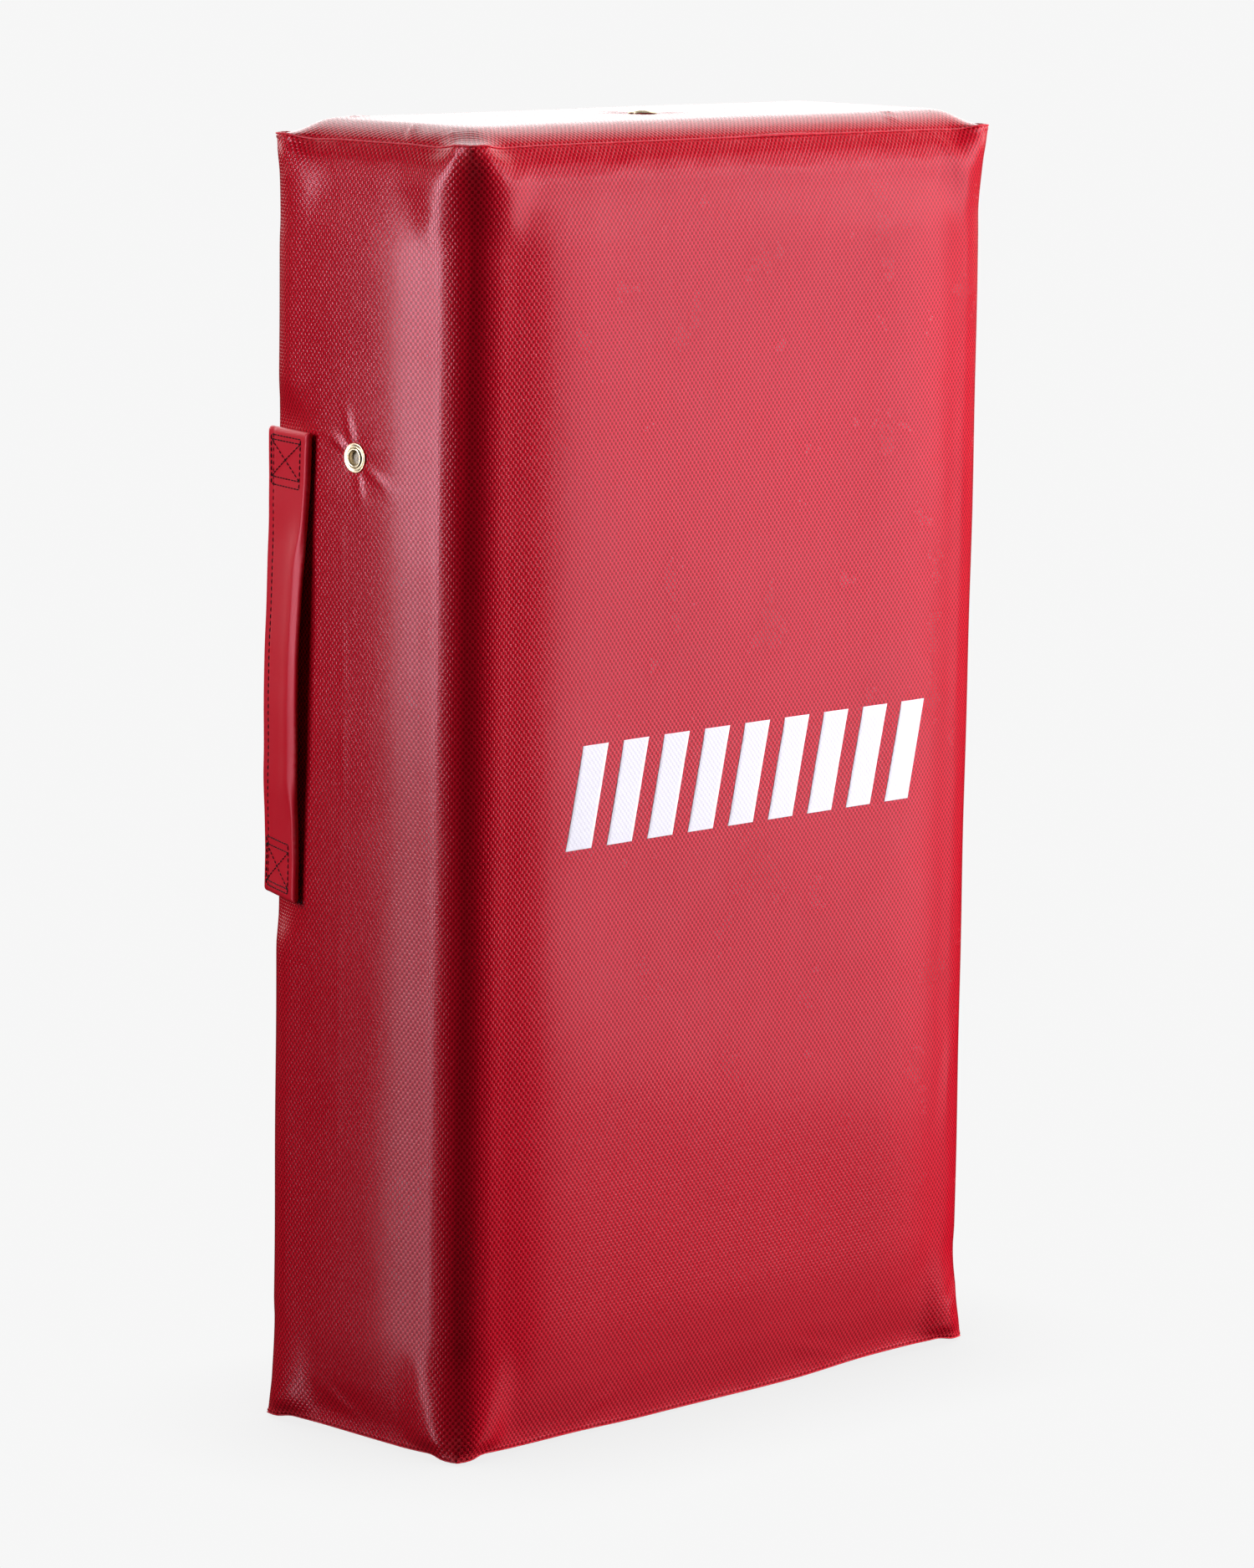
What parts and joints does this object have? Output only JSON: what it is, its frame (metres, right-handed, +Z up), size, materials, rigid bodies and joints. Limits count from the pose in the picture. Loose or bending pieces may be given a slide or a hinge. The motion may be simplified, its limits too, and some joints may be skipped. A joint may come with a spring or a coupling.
{
  "type": "kick shield",
  "caption": "Tall rectangular foam-filled vinyl strike shield with sewn side handles, forearm straps across the back, brass vent eyelets and a zip near the base.",
  "frame": {"origin": "centre of the base, on the floor plane", "axes": "+Z up the shield, -Y out of the strike face, +X to the right seen from the strike face"},
  "size_m": [0.3954, 0.181, 0.6173],
  "materials": {
    "vinyl": "embossed, satin",
    "strap": "smooth, satin",
    "webbing": "woven",
    "patch": "matte",
    "thread": "matte",
    "strike_foam": "open-cell foam, matte",
    "backing_foam": "closed-cell foam, matte",
    "brass": "polished",
    "zip_tape": "woven",
    "nickel": "polished"
  },
  "bodies": {
    "shield": {"cover_wrap": "vinyl", "back_panel_upper": "vinyl", "back_panel_lower": "vinyl", "top_panel": "vinyl", "bottom_panel": "vinyl", "strike_foam": "strike_foam", "backing_foam": "backing_foam", "left_eyelet": "brass", "left_eyelet_washer": "brass", "right_eyelet": "brass", "right_eyelet_washer": "brass", "top_eyelet": "brass", "top_eyelet_washer": "brass", "left_handle_upper_tab": "strap", "left_handle_upper_patch": "patch", "left_handle_upper_stitching": "thread", "left_handle_lower_tab": "strap", "left_handle_lower_patch": "patch", "left_handle_lower_stitching": "thread", "right_handle_upper_tab": "strap", "right_handle_upper_patch": "patch", "right_handle_upper_stitching": "thread", "right_handle_lower_tab": "strap", "right_handle_lower_patch": "patch", "right_handle_lower_stitching": "thread", "upper_arm_strap_left_tab": "strap", "upper_arm_strap_left_patch": "patch", "upper_arm_strap_left_stitching": "thread", "upper_arm_strap_right_tab": "strap", "upper_arm_strap_right_patch": "patch", "upper_arm_strap_right_stitching": "thread", "lower_arm_strap_left_tab": "strap", "lower_arm_strap_left_patch": "patch", "lower_arm_strap_left_stitching": "thread", "lower_arm_strap_right_tab": "strap", "lower_arm_strap_right_patch": "patch", "lower_arm_strap_right_stitching": "thread", "zip_tape_upper": "zip_tape", "zip_coil_upper": "zip_tape", "zip_tape_lower": "zip_tape", "zip_coil_lower": "zip_tape", "zip_stop_left": "nickel", "zip_stop_right": "nickel"},
    "left_grip": {"left_handle_sleeve": "strap", "left_handle_webbing": "webbing"},
    "right_grip": {"right_handle_sleeve": "strap", "right_handle_webbing": "webbing"},
    "upper_arm_loop": {"upper_arm_strap_sleeve": "strap", "upper_arm_strap_webbing": "webbing"},
    "lower_arm_loop": {"lower_arm_strap_sleeve": "strap", "lower_arm_strap_webbing": "webbing"},
    "slider": {"zip_slider": "nickel"},
    "pull": {"zip_pull": "nickel"}
  },
  "joints": [
    {"name": "left_grip_lift", "type": "slide", "parent": "shield", "child": "left_grip", "axis": [-0.9511, 0.309, 0], "range_m": [0, 0.012]},
    {"name": "right_grip_lift", "type": "slide", "parent": "shield", "child": "right_grip", "axis": [0.9511, 0.309, 0], "range_m": [0, 0.012]},
    {"name": "upper_arm_loop_lift", "type": "slide", "parent": "shield", "child": "upper_arm_loop", "axis": [0, 1, 0], "range_m": [0, 0.015]},
    {"name": "lower_arm_loop_lift", "type": "slide", "parent": "shield", "child": "lower_arm_loop", "axis": [0, 1, 0], "range_m": [0, 0.015]},
    {"name": "slider_travel", "type": "slide", "parent": "shield", "child": "slider", "axis": [-1, 0, 0], "range_m": [0, 0.286]},
    {"name": "pull_swing", "type": "hinge", "parent": "slider", "child": "pull", "pos_m": [0.143, 0.0715, 0.034], "axis": [0, 0, -1], "range_deg": [0, 150]}
  ]
}
